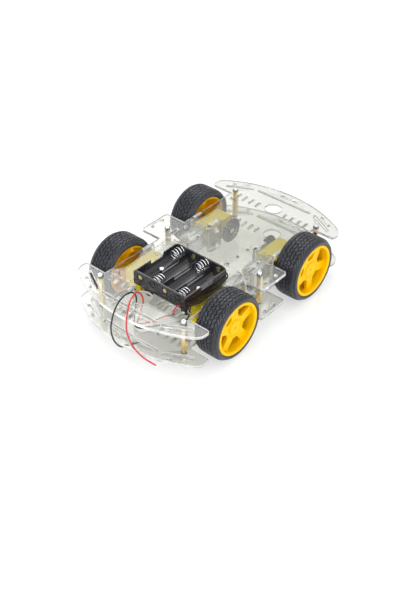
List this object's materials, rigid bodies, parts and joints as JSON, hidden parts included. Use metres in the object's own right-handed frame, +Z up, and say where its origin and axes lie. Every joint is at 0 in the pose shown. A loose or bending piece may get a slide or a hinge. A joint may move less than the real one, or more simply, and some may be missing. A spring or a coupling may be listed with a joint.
{
  "type": "four wheel robot chassis",
  "caption": "Robot rolling chassis: two clear acrylic decks on standoffs, geared motors driving rubber-tyred wheels, encoder discs and an open battery tray with bare leads.",
  "frame": {"origin": "on the ground, under the centre of the decks and halfway between the wheels", "axes": "+X forward along the decks (the battery tray is at the rear), +Y left, +Z up"},
  "size_m": [0.2625, 0.16, 0.0665],
  "materials": {
    "clear_acrylic": "clear, polished, with bright cut edges",
    "standoff_brass": "turned, bright",
    "screw_steel": "bright zinc",
    "tyre_rubber": "matt moulded rubber with fine tread",
    "rim_yellow": "semi-gloss moulded",
    "disc_black": "matt moulded",
    "shaft_nylon": "natural nylon",
    "gear_nylon": "natural nylon",
    "gearbox_yellow": "satin moulded",
    "can_steel": "bright pressed steel",
    "cap_plastic": "moulded",
    "magnet_ferrite": "ground ferrite",
    "rotor_steel": "laminated steel with copper wire",
    "terminal_copper": "stamped copper",
    "strap_clear": "clear moulded",
    "tray_black": "satin moulded",
    "spring_steel": "plated spring wire",
    "contact_brass": "plated rivet",
    "lead_red": "soft insulation",
    "lead_black": "soft insulation"
  },
  "bodies": {
    "chassis": {"upper_deck": "clear_acrylic", "lower_deck": "clear_acrylic", "standoffs": "standoff_brass", "standoff_screws": "screw_steel", "motor_brackets": "clear_acrylic", "bracket_screws": "screw_steel", "bracket_nuts": "screw_steel", "gear_pins": "screw_steel", "gearbox_screws": "screw_steel", "motor_cans": "can_steel", "motor_end_caps": "cap_plastic", "motor_magnets": "magnet_ferrite", "motor_terminals": "terminal_copper", "motor_straps": "strap_clear", "battery_tray": "tray_black", "battery_springs": "spring_steel", "battery_contacts": "contact_brass", "battery_screws": "screw_steel", "lead_red": "lead_red", "lead_black": "lead_black", "front_left_gearbox_outer": "gearbox_yellow", "front_left_gearbox_inner": "gearbox_yellow", "front_right_gearbox_outer": "gearbox_yellow", "front_right_gearbox_inner": "gearbox_yellow", "rear_left_gearbox_outer": "gearbox_yellow", "rear_left_gearbox_inner": "gearbox_yellow", "rear_right_gearbox_outer": "gearbox_yellow", "rear_right_gearbox_inner": "gearbox_yellow"},
    "front_left_wheel": {"front_left_tyre": "tyre_rubber", "front_left_rim": "rim_yellow", "front_left_encoder_disc": "disc_black", "front_left_output_shaft": "shaft_nylon"},
    "front_left_third_gear": {"front_left_third_gear": "gear_nylon"},
    "front_left_second_gear": {"front_left_second_gear": "gear_nylon"},
    "front_left_crown_gear": {"front_left_crown_gear": "gear_nylon"},
    "front_left_rotor": {"front_left_rotor": "rotor_steel"},
    "front_right_wheel": {"front_right_tyre": "tyre_rubber", "front_right_rim": "rim_yellow", "front_right_encoder_disc": "disc_black", "front_right_output_shaft": "shaft_nylon"},
    "front_right_third_gear": {"front_right_third_gear": "gear_nylon"},
    "front_right_second_gear": {"front_right_second_gear": "gear_nylon"},
    "front_right_crown_gear": {"front_right_crown_gear": "gear_nylon"},
    "front_right_rotor": {"front_right_rotor": "rotor_steel"},
    "rear_left_wheel": {"rear_left_tyre": "tyre_rubber", "rear_left_rim": "rim_yellow", "rear_left_encoder_disc": "disc_black", "rear_left_output_shaft": "shaft_nylon"},
    "rear_left_third_gear": {"rear_left_third_gear": "gear_nylon"},
    "rear_left_second_gear": {"rear_left_second_gear": "gear_nylon"},
    "rear_left_crown_gear": {"rear_left_crown_gear": "gear_nylon"},
    "rear_left_rotor": {"rear_left_rotor": "rotor_steel"},
    "rear_right_wheel": {"rear_right_tyre": "tyre_rubber", "rear_right_rim": "rim_yellow", "rear_right_encoder_disc": "disc_black", "rear_right_output_shaft": "shaft_nylon"},
    "rear_right_third_gear": {"rear_right_third_gear": "gear_nylon"},
    "rear_right_second_gear": {"rear_right_second_gear": "gear_nylon"},
    "rear_right_crown_gear": {"rear_right_crown_gear": "gear_nylon"},
    "rear_right_rotor": {"rear_right_rotor": "rotor_steel"}
  },
  "joints": [
    {"name": "front_left_wheel_spin", "type": "hinge", "parent": "chassis", "child": "front_left_wheel", "pos_m": [0.0573, 0.0667, 0.0325], "axis": [0, 1, 0], "continuous": true},
    {"name": "front_left_third_gear_spin", "type": "hinge", "parent": "chassis", "child": "front_left_third_gear", "pos_m": [0.04505, 0.04, 0.0325], "axis": [0, 1, 0], "continuous": true},
    {"name": "front_left_second_gear_spin", "type": "hinge", "parent": "chassis", "child": "front_left_second_gear", "pos_m": [0.0573, 0.04, 0.0325], "axis": [0, 1, 0], "continuous": true},
    {"name": "front_left_crown_gear_spin", "type": "hinge", "parent": "chassis", "child": "front_left_crown_gear", "pos_m": [0.04505, 0.04, 0.0325], "axis": [0, 1, 0], "continuous": true},
    {"name": "front_left_rotor_spin", "type": "hinge", "parent": "chassis", "child": "front_left_rotor", "pos_m": [0.02, 0.0399, 0.0325], "axis": [1, 0, 0], "continuous": true},
    {"name": "front_right_wheel_spin", "type": "hinge", "parent": "chassis", "child": "front_right_wheel", "pos_m": [0.0573, -0.0667, 0.0325], "axis": [0, 1, 0], "continuous": true},
    {"name": "front_right_third_gear_spin", "type": "hinge", "parent": "chassis", "child": "front_right_third_gear", "pos_m": [0.04505, -0.04, 0.0325], "axis": [0, 1, 0], "continuous": true},
    {"name": "front_right_second_gear_spin", "type": "hinge", "parent": "chassis", "child": "front_right_second_gear", "pos_m": [0.0573, -0.04, 0.0325], "axis": [0, 1, 0], "continuous": true},
    {"name": "front_right_crown_gear_spin", "type": "hinge", "parent": "chassis", "child": "front_right_crown_gear", "pos_m": [0.04505, -0.04, 0.0325], "axis": [0, 1, 0], "continuous": true},
    {"name": "front_right_rotor_spin", "type": "hinge", "parent": "chassis", "child": "front_right_rotor", "pos_m": [0.02, -0.0399, 0.0325], "axis": [1, 0, 0], "continuous": true},
    {"name": "rear_left_wheel_spin", "type": "hinge", "parent": "chassis", "child": "rear_left_wheel", "pos_m": [-0.0573, 0.0667, 0.0325], "axis": [0, 1, 0], "continuous": true},
    {"name": "rear_left_third_gear_spin", "type": "hinge", "parent": "chassis", "child": "rear_left_third_gear", "pos_m": [-0.04505, 0.04, 0.0325], "axis": [0, 1, 0], "continuous": true},
    {"name": "rear_left_second_gear_spin", "type": "hinge", "parent": "chassis", "child": "rear_left_second_gear", "pos_m": [-0.0573, 0.04, 0.0325], "axis": [0, 1, 0], "continuous": true},
    {"name": "rear_left_crown_gear_spin", "type": "hinge", "parent": "chassis", "child": "rear_left_crown_gear", "pos_m": [-0.04505, 0.04, 0.0325], "axis": [0, 1, 0], "continuous": true},
    {"name": "rear_left_rotor_spin", "type": "hinge", "parent": "chassis", "child": "rear_left_rotor", "pos_m": [-0.02, 0.0399, 0.0325], "axis": [-1, 0, 0], "continuous": true},
    {"name": "rear_right_wheel_spin", "type": "hinge", "parent": "chassis", "child": "rear_right_wheel", "pos_m": [-0.0573, -0.0667, 0.0325], "axis": [0, 1, 0], "continuous": true},
    {"name": "rear_right_third_gear_spin", "type": "hinge", "parent": "chassis", "child": "rear_right_third_gear", "pos_m": [-0.04505, -0.04, 0.0325], "axis": [0, 1, 0], "continuous": true},
    {"name": "rear_right_second_gear_spin", "type": "hinge", "parent": "chassis", "child": "rear_right_second_gear", "pos_m": [-0.0573, -0.04, 0.0325], "axis": [0, 1, 0], "continuous": true},
    {"name": "rear_right_crown_gear_spin", "type": "hinge", "parent": "chassis", "child": "rear_right_crown_gear", "pos_m": [-0.04505, -0.04, 0.0325], "axis": [0, 1, 0], "continuous": true},
    {"name": "rear_right_rotor_spin", "type": "hinge", "parent": "chassis", "child": "rear_right_rotor", "pos_m": [-0.02, -0.0399, 0.0325], "axis": [-1, 0, 0], "continuous": true}
  ],
  "couplings": [
    {"joint": "front_left_third_gear_spin", "follows": "front_left_wheel_spin", "ratio": -2.7692},
    {"joint": "front_left_second_gear_spin", "follows": "front_left_wheel_spin", "ratio": 6.9231},
    {"joint": "front_left_crown_gear_spin", "follows": "front_left_wheel_spin", "ratio": -17.308},
    {"joint": "front_left_rotor_spin", "follows": "front_left_wheel_spin", "ratio": 48.077},
    {"joint": "front_right_third_gear_spin", "follows": "front_right_wheel_spin", "ratio": -2.7692},
    {"joint": "front_right_second_gear_spin", "follows": "front_right_wheel_spin", "ratio": 6.9231},
    {"joint": "front_right_crown_gear_spin", "follows": "front_right_wheel_spin", "ratio": -17.308},
    {"joint": "front_right_rotor_spin", "follows": "front_right_wheel_spin", "ratio": -48.077},
    {"joint": "rear_left_third_gear_spin", "follows": "rear_left_wheel_spin", "ratio": -2.7692},
    {"joint": "rear_left_second_gear_spin", "follows": "rear_left_wheel_spin", "ratio": 6.9231},
    {"joint": "rear_left_crown_gear_spin", "follows": "rear_left_wheel_spin", "ratio": -17.308},
    {"joint": "rear_left_rotor_spin", "follows": "rear_left_wheel_spin", "ratio": 48.077},
    {"joint": "rear_right_third_gear_spin", "follows": "rear_right_wheel_spin", "ratio": -2.7692},
    {"joint": "rear_right_second_gear_spin", "follows": "rear_right_wheel_spin", "ratio": 6.9231},
    {"joint": "rear_right_crown_gear_spin", "follows": "rear_right_wheel_spin", "ratio": -17.308},
    {"joint": "rear_right_rotor_spin", "follows": "rear_right_wheel_spin", "ratio": -48.077}
  ]
}
